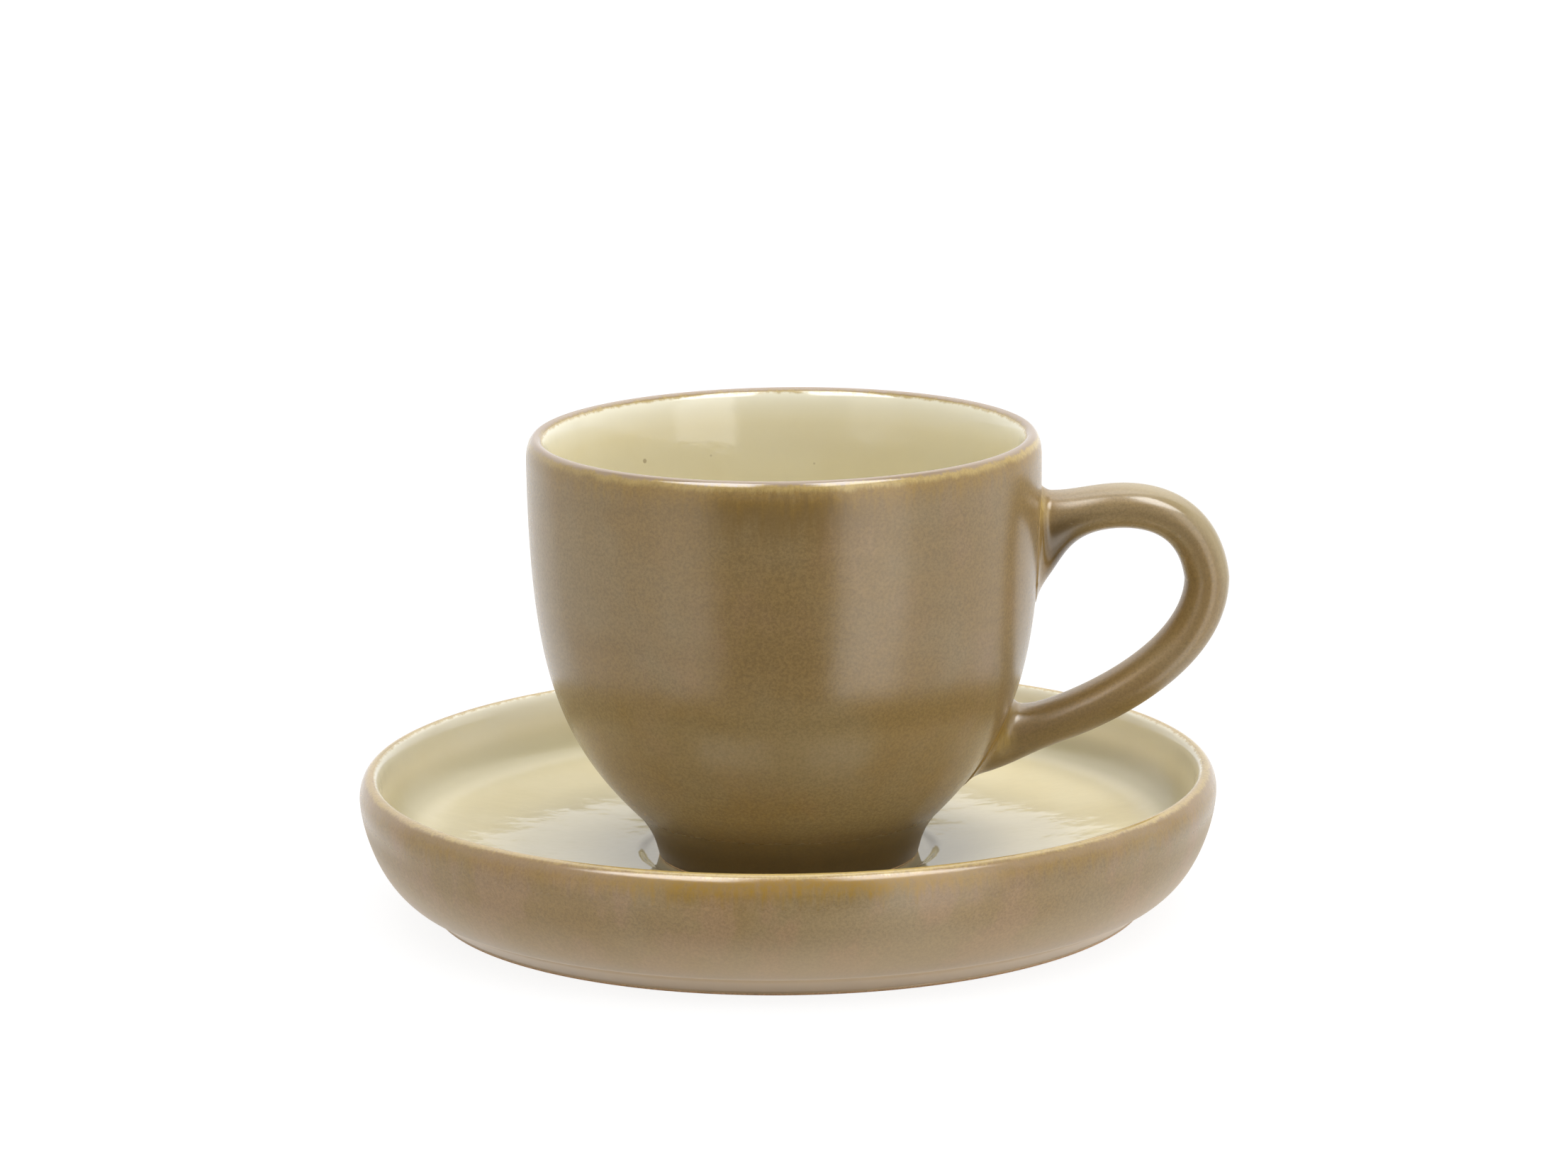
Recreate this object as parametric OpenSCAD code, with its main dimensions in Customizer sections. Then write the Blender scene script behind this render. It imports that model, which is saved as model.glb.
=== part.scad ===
// Espresso cup on its saucer, in glazed stoneware.
// The saucer stands on the plane z = 0 with its axis on Z, and the cup's handle points to +X.
// Heights of the cup are measured from the bottom of its own foot.

/* [Cup] */
// Largest diameter of the cup's wall
cup_d = 68.5; // [60:0.5:80]
// Height of the cup, from the bottom of its foot to the top of its rim
cup_h = 57.5; // [50:0.5:70]
// Thickness of the cup's wall at the rim
cup_wall = 2.9; // [2.2:0.1:4]
// Thickness of the cup's floor, between the hollow of the foot and the inside
cup_floor = 4.2; // [3:0.1:6]
// Diameter of the cup's foot where it meets the bowl
cup_foot_d = 37.2; // [32:0.2:42]
// Height of the cup's foot
cup_foot_h = 4.5; // [3:0.1:7]
// How much the foot narrows towards its bottom, on each side
cup_foot_taper = 1.1; // [0.4:0.1:2]
// How far the hollow curve between the foot and the bowl reaches, along each of them
cup_foot_blend = 2.8; // [1:0.1:3.4]
// Width of the bare ring that the cup stands on
cup_ring_w = 2.6; // [1.8:0.1:4]
// Depth of the hollow inside the cup's foot
cup_hollow = 1.6; // [0.8:0.1:2.4]
// How far the lip rolls in from the outside, and how high that roll is
cup_lip_out = 1.2; // [0.9:0.1:1.6]
// Height of the roll on the outside of the cup's lip
cup_lip_h = 3; // [1.6:0.1:4]
// Height of the roll on the inside of the cup's lip
cup_lip_in_h = 2.4; // [1:0.1:3]

/* [Handle] */
// How far the handle stands out from the cup's wall
handle_reach = 25.1; // [18:0.1:30]
// Thickness of the handle, seen from the side
handle_t = 6; // [5:0.1:7.5]
// Width of the handle, seen from its end
handle_w = 7.8; // [6:0.1:10]
// Distance from the top of the cup's rim down to the middle of the handle's upper root
handle_top_drop = 14.6; // [12:0.1:18]
// Height of the middle of the handle's lower root
handle_low_z = 15.3; // [13:0.1:18]
// Height of the upper root along the wall
root_top_h = 16; // [13:0.2:17]
// Height of the lower root along the wall
root_low_h = 13; // [11:0.2:14]
// Width of both roots
root_w = 12.6; // [10:0.2:15]
// Distance over which the upper root flares
flare_top = 13; // [10:0.2:20]
// Distance over which the lower root flares
flare_low = 10; // [7:0.2:14]

/* [Saucer] */
// Largest diameter of the saucer
saucer_d = 115; // [105:1:130]
// Height of the saucer, from the table to the top of its rim
saucer_h = 18.2; // [16:0.2:24]
// Thickness of the saucer's wall at the rim
saucer_wall = 2.8; // [2.2:0.1:4]
// Thickness of the saucer's plate at the edge of the well, between its underside and its upper face
saucer_floor = 4.4; // [4:0.1:6]
// How much the plate's upper face rises from the edge of the well to the bottom of the wall
saucer_dish = 1.6; // [0.4:0.1:2.2]
// Diameter of the saucer's foot ring at the table
saucer_foot_d = 96.4; // [88:0.2:100]
// Height of the saucer's foot ring, up to the ledge under the wall
saucer_foot_h = 3.2; // [2.4:0.1:4]
// How much the foot ring widens towards its top, on each side
saucer_foot_flare = 2; // [1:0.1:2.5]
// Width of the bare ring that the saucer stands on
saucer_ring_w = 2.8; // [2:0.1:4]
// Depth of the hollow inside the saucer's foot ring
saucer_hollow = 2.4; // [1.6:0.1:3]
// Width of the ledge between the foot ring and the wall
saucer_ledge = 1.7; // [1:0.1:2.5]
// How far the saucer's lip rolls in from the outside
saucer_lip_out = 1.6; // [1.2:0.1:1.8]
// Height of the roll on the outside of the saucer's lip
saucer_lip_h = 3; // [1.6:0.1:4]
// Height of the roll on the inside of the saucer's lip
saucer_lip_in_h = 1.6; // [1:0.1:2.4]
// Depth of the well that the cup stands in
well_depth = 0.6; // [0.4:0.1:1.2]
// Room between the cup's foot and the edge of the well, on each side
well_room = 1.2; // [0.8:0.1:3]
// Width of the slope round the well
well_slope = 2.1; // [1.2:0.1:3]

/* [Glaze] */
// Thickness of the cream glaze that lines the cup and the saucer
glaze_t = 0.35; // [0.2:0.05:0.5]

/* [Hidden] */

BROWN = [0.47, 0.38, 0.24];
CREAM = [0.87, 0.84, 0.68];

// Steps along a long curve, along a short one, and round a full turn
long_steps = 24;
short_steps = 8;
$fn = 128;

cup_r = cup_d / 2;
cup_foot_r = cup_foot_d / 2;
cup_stand_r = cup_foot_r - cup_foot_taper;
cup_mouth_r = cup_r - cup_wall;
cup_lip_in = cup_wall - cup_lip_out;
cup_crest_r = cup_r - cup_lip_out;
cup_inside_z = cup_hollow + cup_floor;
saucer_r = saucer_d / 2;
saucer_stand_r = saucer_foot_d / 2;
saucer_crest_r = saucer_r - saucer_lip_out;
saucer_mouth_r = saucer_r - saucer_wall;
saucer_lip_in = saucer_wall - saucer_lip_out;
saucer_top_z = saucer_hollow + saucer_floor;
well_r = cup_stand_r + well_room;
seat_z = saucer_top_z - well_depth;
handle_top_z = cup_h - handle_top_drop;

// Radius of the worn edges of both standing rings, as a share of the ring's width
ring_edge_share = 0.2;
// Slope of the inner side of a standing ring, as a share of the depth of its hollow
hollow_slope_share = 0.6;
// Where the two pulls of the cup's outer curve lie: shares of its radius and of its height above the foot
cup_curve_shares = [[0.893, 0.214], [1, 0.39]];
// The same for the inner curve, with shares of the mouth's radius and of the height above the inside floor
cup_inside_shares = [[0.861, 0], [0.882, 0.59]];
// How far the pulls of the hollow curve at the foot reach towards its corner
foot_pull_share = 0.6;
// Share of the mouth's radius that the flat floor inside the cup takes
cup_flat_share = 0.3;
// The pulls of the saucer's outer curve: shares of its rise outwards and of its rise upwards
saucer_curve_shares = [[0.77, 0.27], [1, 0.86]];
// The pulls of the saucer's inner curve: shares of the mouth's radius and of the wall's height inside
saucer_inside_shares = [[0.932, 0], [0.98, 0.22]];
// Share of the mouth's radius that the saucer's plate takes, up to where the wall starts to turn up
saucer_plate_share = 0.823;
// Where the cream glaze of the cup and of the saucer ends on the inner roll of the lip: degrees from the crest
cup_glaze_angle = 42;
saucer_glaze_angle = 12;

// The handle's path in the plane y = 0: shares of the reach, and of the height between the middles of its roots
top_pull_share = [0.03, 0.12];
bend_pull_top_share = [0.8, 0.35];
bend_share = [0.878, -0.205];
bend_pull_low_share = [0.878, -0.675];
low_pull_share = [0.03, -0.97];
// How sharply the two roots flare
flare_top_power = 3.8;
flare_low_power = 2.7;
// Depth that the ends of the handle start at inside the wall, before the wall is cut away, as a share of the wall
root_sink_share = 0.3;
root_start_share = 0.9;
handle_steps = 28;
handle_sides = 24;

// A point of a cubic curve, and the curve as a list of points
function cubic(p, t) = let (u = 1 - t)
    u * u * u * p[0] + 3 * u * u * t * p[1] + 3 * u * t * t * p[2] + t * t * t * p[3];
function curve(p, steps) = [for (i = [0:steps]) cubic(p, i / steps)];

// An arc of an ellipse about a centre, from one angle to another
function arc(centre, half_w, half_h, from, to, steps) = [
    for (i = [0:steps]) let (a = from + (to - from) * i / steps) centre + [half_w * cos(a), half_h * sin(a)]
];

function reversed(p) = [for (i = [len(p) - 1:-1:0]) p[i]];
function unit(v) = v / norm(v);

// A list of points moved sideways to its right by a distance, as a coat on a surface is
function coat(p, t) = [
    for (i = [0:len(p) - 1])
        let (d = unit(p[min(i + 1, len(p) - 1)] - p[max(i - 1, 0)]), q = p[i] + t * [d[1], -d[0]])
            [p[i][0] == 0 ? 0 : q[0], q[1]]
];

// The underside of a foot, from the axis out to its standing ring
function foot_underside(stand_r, ring_w, hollow) = let (
    edge = ring_w * ring_edge_share,
    ring_r = stand_r - ring_w,
    slope = hollow * hollow_slope_share
) concat(
    [[0, hollow]],
    curve([
        [ring_r - 2 * slope, hollow],
        [ring_r - slope, hollow],
        [ring_r - slope, hollow],
        [ring_r - slope / 2, hollow / 2]
    ], short_steps),
    arc([ring_r + edge, edge], edge, edge, 180, 270, short_steps),
    arc([stand_r - edge, edge], edge, edge, 270, 360, short_steps)
);

// The cup's outer side, from the foot's ring up to the crest of the lip
bowl = [
    [cup_foot_r, cup_foot_h],
    [cup_r * cup_curve_shares[0][0], cup_foot_h + (cup_h - cup_foot_h) * cup_curve_shares[0][1]],
    [cup_r * cup_curve_shares[1][0], cup_foot_h + (cup_h - cup_foot_h) * cup_curve_shares[1][1]],
    [cup_r, cup_h - cup_lip_h]
];
blend_t = cup_foot_blend / norm(bowl[1] - bowl[0]) / 3;
blend_top = cubic(bowl, blend_t);
blend_low = bowl[0] + cup_foot_blend * unit([cup_stand_r, cup_ring_w * ring_edge_share] - bowl[0]);
cup_outer_curve = concat(
    curve([
        blend_low,
        blend_low + foot_pull_share * (bowl[0] - blend_low),
        blend_top + foot_pull_share * (bowl[0] - blend_top),
        blend_top
    ], short_steps),
    [for (i = [1:long_steps]) cubic(bowl, blend_t + (1 - blend_t) * i / long_steps)]
);
cup_outer_lip = arc([cup_crest_r, cup_h - cup_lip_h], cup_lip_out, cup_lip_h, 0, 90, short_steps);

// The cup's inner side, from the axis up to where its glaze ends, and the rest of the lip
cup_inner_curve = concat(
    [[0, cup_inside_z]],
    curve([
        [cup_mouth_r * cup_flat_share, cup_inside_z],
        [cup_mouth_r * cup_inside_shares[0][0], cup_inside_z],
        [cup_mouth_r * cup_inside_shares[1][0], cup_inside_z + (cup_h - cup_inside_z) * cup_inside_shares[1][1]],
        [cup_mouth_r, cup_h - cup_lip_in_h]
    ], long_steps)
);
cup_lip_centre = [cup_crest_r, cup_h - cup_lip_in_h];
cup_glazed_lip = arc(cup_lip_centre, cup_lip_in, cup_lip_in_h, 180, 90 + cup_glaze_angle, short_steps);
cup_brown_lip = arc(cup_lip_centre, cup_lip_in, cup_lip_in_h, 90, 90 + cup_glaze_angle, short_steps);
cup_inside = concat(cup_inner_curve, cup_glazed_lip);

// The saucer's outer side, from the ring up to the crest of the lip
saucer_ring_top = [saucer_stand_r + saucer_foot_flare, saucer_foot_h - saucer_ledge / 2];
saucer_wall_base = [saucer_stand_r + saucer_foot_flare + saucer_ledge, saucer_foot_h];
saucer_rise = [saucer_r - saucer_wall_base[0], saucer_h - saucer_lip_h - saucer_foot_h];
saucer_outer = concat(
    curve([
        saucer_ring_top,
        [saucer_ring_top[0] + saucer_ledge / 3, saucer_foot_h],
        [saucer_ring_top[0] + saucer_ledge / 3, saucer_foot_h],
        saucer_wall_base
    ], short_steps),
    curve([
        saucer_wall_base,
        saucer_wall_base + [saucer_rise[0] * saucer_curve_shares[0][0], saucer_rise[1] * saucer_curve_shares[0][1]],
        saucer_wall_base + [saucer_rise[0] * saucer_curve_shares[1][0], saucer_rise[1] * saucer_curve_shares[1][1]],
        [saucer_r, saucer_h - saucer_lip_h]
    ], long_steps),
    arc([saucer_crest_r, saucer_h - saucer_lip_h], saucer_lip_out, saucer_lip_h, 0, 90, short_steps)
);

// The saucer's upper face, from the axis over the well and the floor up to where its glaze ends
saucer_lip_z = saucer_h - saucer_lip_in_h;
saucer_lip_centre = [saucer_crest_r, saucer_lip_z];
well_edge_r = well_r + well_slope;
plate_r = saucer_mouth_r * saucer_plate_share;
plate_z = saucer_top_z + saucer_dish;
wall_start_r = saucer_mouth_r * saucer_inside_shares[0][0];
saucer_inside = concat(
    [[0, seat_z]],
    curve([
        [well_r, seat_z],
        [well_r + well_slope / 2, seat_z],
        [well_r + well_slope / 2, saucer_top_z],
        [well_edge_r, saucer_top_z]
    ], short_steps),
    [for (i = [1:short_steps]) let (t = i / short_steps)
        [well_edge_r + (plate_r - well_edge_r) * t, saucer_top_z + saucer_dish * t * t]],
    [for (i = [1:long_steps]) cubic([
        [plate_r, plate_z],
        [wall_start_r, plate_z + 2 * saucer_dish * (wall_start_r - plate_r) / (plate_r - well_edge_r)],
        [
            saucer_mouth_r * saucer_inside_shares[1][0],
            plate_z + (saucer_lip_z - plate_z) * saucer_inside_shares[1][1]
        ],
        [saucer_mouth_r, saucer_lip_z]
    ], i / long_steps)],
    arc(saucer_lip_centre, saucer_lip_in, saucer_lip_in_h, 180, 90 + saucer_glaze_angle, short_steps)
);
saucer_brown_lip = arc(saucer_lip_centre, saucer_lip_in, saucer_lip_in_h, 90, 90 + saucer_glaze_angle, short_steps);

// A solid of revolution under its glaze, and the glaze as a coat of its own
module thrown(underside, outer, brown_lip, inside) {
    rotate_extrude()
        polygon(concat(underside, outer, brown_lip, reversed(coat(inside, glaze_t))));
}

module lining(inside) {
    rotate_extrude()
        polygon(concat(coat(inside, glaze_t), reversed(inside)));
}

// The solid that the outside of the cup encloses, which trims the handle to the wall
module cup_envelope() {
    rotate_extrude()
        polygon(concat([[0, 0], [cup_stand_r, 0]], cup_outer_curve, cup_outer_lip, [[0, cup_h]]));
}

// Radius of the cup's wall at a height, and the direction of the wall there
function wall_index(z) = max([for (i = [0:len(cup_outer_curve) - 2]) cup_outer_curve[i][1] <= z ? i : 0]);
function wall_r(z) = let (
    i = wall_index(z),
    a = cup_outer_curve[i],
    b = cup_outer_curve[i + 1]
) a[0] + (b[0] - a[0]) * (z - a[1]) / (b[1] - a[1]);
function wall_dir(z) = let (i = wall_index(z)) unit(cup_outer_curve[i + 1] - cup_outer_curve[i]);

// The handle's path, from the upper root round the bend to the lower root
root_span = handle_top_z - handle_low_z;
function out_of_wall(share) = [cup_r + handle_reach * share[0], handle_top_z + root_span * share[1]];
function root_point(z, depth) = [wall_r(z), z] - depth * cup_wall * [wall_dir(z)[1], -wall_dir(z)[0]];
bend = out_of_wall(bend_share);
top_root = root_point(handle_top_z, root_sink_share);
low_root = root_point(handle_low_z, root_sink_share);
top_half = [top_root, out_of_wall(top_pull_share), out_of_wall(bend_pull_top_share), bend];
low_half = [bend, out_of_wall(bend_pull_low_share), out_of_wall(low_pull_share), low_root];
handle_path = concat(curve(top_half, handle_steps), [for (i = [1:handle_steps]) cubic(low_half, i / handle_steps)]);
path_last = len(handle_path) - 1;
path_legs = [for (i = [1:path_last]) norm(handle_path[i] - handle_path[i - 1])];
function path_run(i) = i == 0 ? 0 : path_run(i - 1) + path_legs[i - 1];
path_length = path_run(path_last);

// How strongly each root flares at a point of the path: 1 at the wall, 0 past the flare
function flare(run, reach, power) = run >= reach ? 0 : pow(1 - run / reach, power);

// One ring of the handle: an oval whose thickness turns from square to the path to along the wall at the roots
function ring_at(centre, across, half_t, half_w) = [
    for (j = [0:handle_sides - 1]) let (a = 360 * j / handle_sides, s = half_t * cos(a))
        [centre[0] + across[0] * s, half_w * sin(a), centre[1] + across[1] * s]
];
function handle_ring(i) = let (
    run = path_run(i),
    top = flare(run, flare_top, flare_top_power),
    low = flare(path_length - run, flare_low, flare_low_power),
    d = unit(handle_path[min(i + 1, path_last)] - handle_path[max(i - 1, 0)]),
    across = unit((1 - top - low) * [-d[1], d[0]] + top * wall_dir(handle_top_z) - low * wall_dir(handle_low_z)),
    half_t = handle_t / 2 + (root_top_h - handle_t) / 2 * top + (root_low_h - handle_t) / 2 * low,
    half_w = handle_w / 2 + (root_w - handle_w) / 2 * (top + low)
) ring_at(handle_path[i], across, half_t, half_w);

handle_rings = concat(
    [ring_at(root_point(handle_top_z, root_start_share), wall_dir(handle_top_z), root_top_h / 2, root_w / 2)],
    [for (i = [0:path_last]) handle_ring(i)],
    [ring_at(root_point(handle_low_z, root_start_share), -wall_dir(handle_low_z), root_low_h / 2, root_w / 2)]
);

// A closed skin over a list of rings that have the same number of points
module skin(rings) {
    sides = len(rings[0]);
    last = len(rings) - 1;
    polyhedron(
        points = [for (ring = rings) each ring],
        faces = concat(
            [[for (j = [0:sides - 1]) j]],
            [for (i = [0:last - 1]) for (j = [0:sides - 1]) let (k = (j + 1) % sides)
                each [
                    [i * sides + j, (i + 1) * sides + j, (i + 1) * sides + k],
                    [i * sides + j, (i + 1) * sides + k, i * sides + k]
                ]],
            [[for (j = [sides - 1:-1:0]) last * sides + j]]
        )
    );
}

module saucer_body() {
    color(BROWN)
        thrown(
            foot_underside(saucer_stand_r, saucer_ring_w, saucer_hollow),
            saucer_outer,
            saucer_brown_lip,
            saucer_inside
        );
}

module saucer_lining() {
    color(CREAM)
        lining(saucer_inside);
}

module cup_body() {
    color(BROWN)
        translate([0, 0, seat_z])
            thrown(
                foot_underside(cup_stand_r, cup_ring_w, cup_hollow),
                concat(cup_outer_curve, cup_outer_lip),
                cup_brown_lip,
                cup_inside
            );
}

module cup_lining() {
    color(CREAM)
        translate([0, 0, seat_z])
            lining(cup_inside);
}

module cup_handle() {
    color(BROWN)
        translate([0, 0, seat_z])
            difference() {
                skin(handle_rings);
                cup_envelope();
            }
}

saucer_body();
saucer_lining();
cup_body();
cup_lining();
cup_handle();
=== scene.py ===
"""Looks of an espresso cup with its saucer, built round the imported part.

Shapes, and the marks stored on their points, are in millimetres, as in the CAD. Lengths in the
materials and in the studio are in metres.
"""

import math

import bpy
import numpy as np
from mathutils import Matrix, Vector


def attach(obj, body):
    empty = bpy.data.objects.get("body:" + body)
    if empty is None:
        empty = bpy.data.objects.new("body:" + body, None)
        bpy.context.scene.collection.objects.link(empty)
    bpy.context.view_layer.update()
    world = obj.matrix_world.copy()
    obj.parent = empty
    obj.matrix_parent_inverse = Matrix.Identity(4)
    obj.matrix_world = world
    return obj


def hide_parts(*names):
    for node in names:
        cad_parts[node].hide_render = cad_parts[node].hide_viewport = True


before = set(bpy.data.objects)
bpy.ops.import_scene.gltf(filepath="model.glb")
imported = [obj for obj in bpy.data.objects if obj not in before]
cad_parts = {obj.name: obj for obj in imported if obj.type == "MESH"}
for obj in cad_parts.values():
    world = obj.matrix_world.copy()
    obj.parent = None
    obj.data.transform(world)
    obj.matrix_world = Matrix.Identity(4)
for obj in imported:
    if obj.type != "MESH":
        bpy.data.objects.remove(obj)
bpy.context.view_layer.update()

# ---------------------------------------------------------------- sizes, as in the CAD
MM = 0.001

CUP_R = 34.25
CUP_H = 57.5
CUP_WALL = 2.9
CUP_FOOT_R = 18.6
CUP_FOOT_H = 4.5
CUP_FOOT_BLEND = 2.8
CUP_STAND_R = 17.5
CUP_RING_W = 2.6
CUP_HOLLOW = 1.6
CUP_INSIDE_Z = 5.8
CUP_LIP_OUT = 1.2
CUP_LIP_H = 3.0
CUP_LIP_IN_H = 2.4

SAUCER_R = 57.5
SAUCER_H = 18.2
SAUCER_WALL = 2.8
SAUCER_STAND_R = 48.2
SAUCER_RING_W = 2.8
SAUCER_HOLLOW = 2.4
SAUCER_FOOT_H = 3.2
SAUCER_FLARE = 2.0
SAUCER_LEDGE = 1.7
SAUCER_TOP_Z = 6.8
SAUCER_DISH = 1.6
SAUCER_LIP_OUT = 1.6
SAUCER_LIP_H = 3.0
SAUCER_LIP_IN_H = 1.6
WELL_R = 18.7
WELL_SLOPE = 2.1

SEAT_Z = 6.2
GLAZE_T = 0.35

HANDLE_REACH = 25.09  # the CAD's 25.1, less what keeps the finer mesh inside the CAD's box
HANDLE_T = 6.0
HANDLE_W = 7.8
HANDLE_TOP_Z = 42.9
HANDLE_LOW_Z = 15.3
ROOT_TOP_H = 16.0
ROOT_LOW_H = 13.0
ROOT_W = 12.6
FLARE_TOP = 13.0
FLARE_LOW = 10.0
FLARE_TOP_POWER = 3.8
FLARE_LOW_POWER = 2.7

# shares that place the CAD's curves: (outwards, upwards)
RING_EDGE_SHARE = 0.2
HOLLOW_SLOPE_SHARE = 0.6
FOOT_PULL_SHARE = 0.6
CUP_FLAT_SHARE = 0.3
CUP_CURVE_SHARES = ((0.893, 0.214), (1, 0.39))
CUP_INSIDE_SHARES = ((0.861, 0), (0.882, 0.59))
SAUCER_CURVE_SHARES = ((0.77, 0.27), (1, 0.86))
SAUCER_INSIDE_SHARES = ((0.932, 0), (0.98, 0.22))
SAUCER_PLATE_SHARE = 0.823
TOP_PULL_SHARE = (0.03, 0.12)
BEND_PULL_TOP_SHARE = (0.8, 0.35)
BEND_SHARE = (0.878, -0.205)
BEND_PULL_LOW_SHARE = (0.878, -0.675)
LOW_PULL_SHARE = (0.03, -0.97)
ROOT_SINK_SHARE = 0.3

# only here, not in the CAD
ROOT_END_SHARE = 0.8  # depth of the handle's ends in the wall, as a share of the wall
FILLET = 1.4  # glaze that gathers in the corner between the handle and the wall
LIP_PULL_SHARES = (0.55, 0.6)  # the inner roll of a lip: shares of its width and of its height
CUP_GLAZE_SHARE = 0.62  # how far up that roll the cream glaze goes
SAUCER_GLAZE_SHARE = 0.85
CUP_CLAY_H = 0.3  # how far up a standing ring its clay is bare
SAUCER_CLAY_H = 0.35
CUP_SEGMENTS = 288
SAUCER_SEGMENTS = 384
HANDLE_SIDES = 72
SHARP_ANGLE = 38  # degrees between faces, above which an edge is drawn sharp


# ---------------------------------------------------------------- curves
def cubic_at(points, t):
    """Points of a cubic curve at parameters t."""
    p = np.array(points, float)
    t = np.asarray(t, float)[:, None]
    u = 1 - t
    return u**3 * p[0] + 3 * u**2 * t * p[1] + 3 * u * t**2 * p[2] + t**3 * p[3]


def cubic(points, steps):
    """A cubic curve as steps + 1 points."""
    return cubic_at(points, np.linspace(0, 1, steps + 1))


def arc(centre, half_w, half_h, start, end, steps):
    """Part of an ellipse, angles in degrees."""
    a = np.radians(np.linspace(start, end, steps + 1))
    return np.stack([centre[0] + half_w * np.cos(a), centre[1] + half_h * np.sin(a)], 1)


def line(a, b, steps):
    """A straight line of points from a to b."""
    t = np.linspace(0, 1, steps + 1)[:, None]
    return (1 - t) * np.array(a, float) + t * np.array(b, float)


def join(*parts):
    """One list of points, without the doubled ends."""
    out = [np.asarray(parts[0], float)]
    for p in parts[1:]:
        p = np.asarray(p, float)
        out.append(p[1:] if np.hypot(*(p[0] - out[-1][-1])) < 1e-6 else p)
    return np.concatenate(out)


def unit(v):
    return v / np.hypot(*v.T)[:, None]


def directions(p):
    """Direction of travel at each point of a list."""
    return unit(np.gradient(p, axis=0))


def runs(p):
    """Distance travelled along a list of points."""
    return np.concatenate([[0], np.cumsum(np.hypot(*np.diff(p, axis=0).T))])


def coat(p, t):
    """Points moved to the right of their direction of travel, as a coat of glaze on a surface."""
    d = directions(p)
    q = p + t * np.stack([d[:, 1], -d[:, 0]], 1)
    q[p[:, 0] == 0, 0] = 0
    return q


def smooth(x, lo, hi):
    """0 below lo, 1 above hi and an S-curve between them."""
    t = np.clip((np.asarray(x, float) - lo) / (hi - lo), 0, 1)
    return t * t * (3 - 2 * t)


def bump(x, lo, top, hi):
    """0 outside lo..hi and 1 at top."""
    return smooth(x, lo, top) * (1 - smooth(x, top, hi))


def lip_roll(wall, crest, steps):
    """The inner side of a lip: from the end of a wall, in its direction, up to the crest."""
    start, along = wall[-1], wall[-1] - wall[-2]
    along = along / np.hypot(*along)
    w, h = abs(crest[0] - start[0]), crest[1] - start[1]
    pull_in, pull_up = LIP_PULL_SHARES[0] * w, LIP_PULL_SHARES[1] * h
    return cubic([start, start + pull_up * along, [crest[0] - pull_in, crest[1]], crest], steps)


def foot_underside(stand_r, ring_w, hollow):
    """The underside of a foot, from the axis out round its standing ring."""
    edge = ring_w * RING_EDGE_SHARE
    ring_r = stand_r - ring_w
    slope = hollow * HOLLOW_SLOPE_SHARE
    flat, corner = [ring_r - 2 * slope, hollow], [ring_r - slope, hollow]
    return join(
        line([0, hollow], flat, 6),
        cubic([flat, corner, corner, [ring_r - slope / 2, hollow / 2]], 16),
        arc([ring_r + edge, edge], edge, edge, 180, 270, 10),
        arc([stand_r - edge, edge], edge, edge, 270, 360, 10),
    )


# ---------------------------------------------------------------- meshes
def new_object(name, verts, faces, body, slot, replaces, **marks):
    """A smooth mesh object on its body. marks are one number for each point."""
    mesh = bpy.data.meshes.new(name)
    mesh.from_pydata((np.asarray(verts) * MM).tolist(), [], faces)
    mesh.validate()
    mesh.update()
    mesh.polygons.foreach_set("use_smooth", [True] * len(mesh.polygons))
    mesh.set_sharp_from_angle(angle=math.radians(SHARP_ANGLE))
    for key, values in marks.items():
        layer = mesh.attributes.new(key, "FLOAT", "POINT")
        layer.data.foreach_set("value", np.asarray(values, np.float32))
    obj = bpy.data.objects.new(name, mesh)
    bpy.context.scene.collection.objects.link(obj)
    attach(obj, body)
    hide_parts(replaces)
    return obj


def revolve(name, profile, lift, segs, body, slot, replaces, **marks):
    """Turns a closed profile of (radius, height) round Z. Points on the axis become one vertex."""
    turn = np.linspace(0, 2 * math.pi, segs, endpoint=False)
    cos, sin = np.cos(turn), np.sin(turn)
    verts, first, count = [], [], []
    for r, z in profile:
        first.append(len(verts))
        on_axis = r < 1e-6
        count.append(1 if on_axis else segs)
        verts.extend([(0, 0, z + lift)] if on_axis else zip(r * cos, r * sin, [z + lift] * segs))
    faces = []
    for i in range(len(profile)):
        k = (i + 1) % len(profile)
        if count[i] == 1 and count[k] == 1:
            continue
        for j in range(segs):
            m = (j + 1) % segs
            if count[i] == 1:
                faces.append((first[i], first[k] + m, first[k] + j))
            elif count[k] == 1:
                faces.append((first[i] + j, first[i] + m, first[k]))
            else:
                faces.append((first[i] + j, first[i] + m, first[k] + m, first[k] + j))
    marks = {key: np.repeat(values, count) for key, values in marks.items()}
    return new_object(name, verts, faces, body, slot, replaces, **marks)


# ---------------------------------------------------------------- the cup's profile
bowl = np.array([
    [CUP_FOOT_R, CUP_FOOT_H],
    *([CUP_R * out, CUP_FOOT_H + (CUP_H - CUP_FOOT_H) * up] for out, up in CUP_CURVE_SHARES),
    [CUP_R, CUP_H - CUP_LIP_H],
])
blend_t = CUP_FOOT_BLEND / np.hypot(*(bowl[1] - bowl[0])) / 3
blend_top = cubic_at(bowl, [blend_t])[0]
foot_edge = np.array([CUP_STAND_R, CUP_RING_W * RING_EDGE_SHARE])
blend_low = bowl[0] + CUP_FOOT_BLEND * (foot_edge - bowl[0]) / np.hypot(*(foot_edge - bowl[0]))
foot_blend = [
    blend_low,
    blend_low + FOOT_PULL_SHARE * (bowl[0] - blend_low),
    blend_top + FOOT_PULL_SHARE * (bowl[0] - blend_top),
    blend_top,
]
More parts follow.
